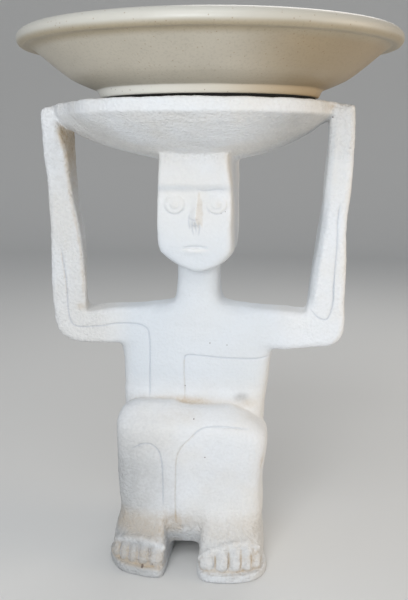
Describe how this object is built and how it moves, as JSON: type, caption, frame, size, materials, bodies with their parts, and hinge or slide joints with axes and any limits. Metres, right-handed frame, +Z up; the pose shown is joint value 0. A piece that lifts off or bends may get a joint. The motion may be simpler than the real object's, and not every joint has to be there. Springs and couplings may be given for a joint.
{
  "type": "plaster bowl bearer figure",
  "caption": "Stylised squatting plaster figure with raised arms that carries a round dish on its head, with a shallow stoneware bowl standing on the dish.",
  "frame": {"origin": "on the floor, under the middle of the round dish that the figure carries", "axes": "+Z up, the figure faces -Y, and +X is to the right of someone who looks at its face"},
  "size_m": [0.408, 0.408, 0.5728],
  "materials": {
    "plaster": "matt white painted plaster",
    "dark_pad": "matt black",
    "stoneware": "satin speckled oatmeal glaze"
  },
  "bodies": {
    "root": {"figure": "plaster", "bowl_pad": "dark_pad", "bowl": "stoneware"}
  },
  "joints": []
}
